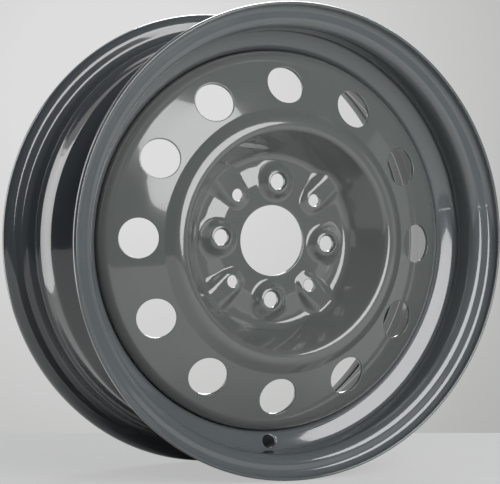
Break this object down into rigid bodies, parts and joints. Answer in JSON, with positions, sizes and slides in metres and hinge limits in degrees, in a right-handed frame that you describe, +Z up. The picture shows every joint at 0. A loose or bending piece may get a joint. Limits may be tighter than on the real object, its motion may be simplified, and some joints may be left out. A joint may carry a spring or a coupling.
{
  "type": "steel road wheel",
  "caption": "Pressed steel car wheel: a rolled drop-centre rim welded to a hat-shaped disc with round vents, conical bolt seats, raised pads and a centre bore.",
  "frame": {"origin": "middle of the rim on the axle line, halfway between the two flanges", "axes": "Y is the axle line with the outboard face towards -Y and the hub side towards +Y; +Z is up, with the valve hole near the bottom"},
  "size_m": [0.3902, 0.162, 0.39],
  "materials": {
    "paint": "gloss",
    "weld": "gloss over a weld bead"
  },
  "bodies": {
    "root": {"rim": "paint", "disc": "paint", "weld_bead_1": "weld", "weld_bead_2": "weld", "weld_bead_3": "weld", "weld_bead_4": "weld"}
  },
  "joints": []
}
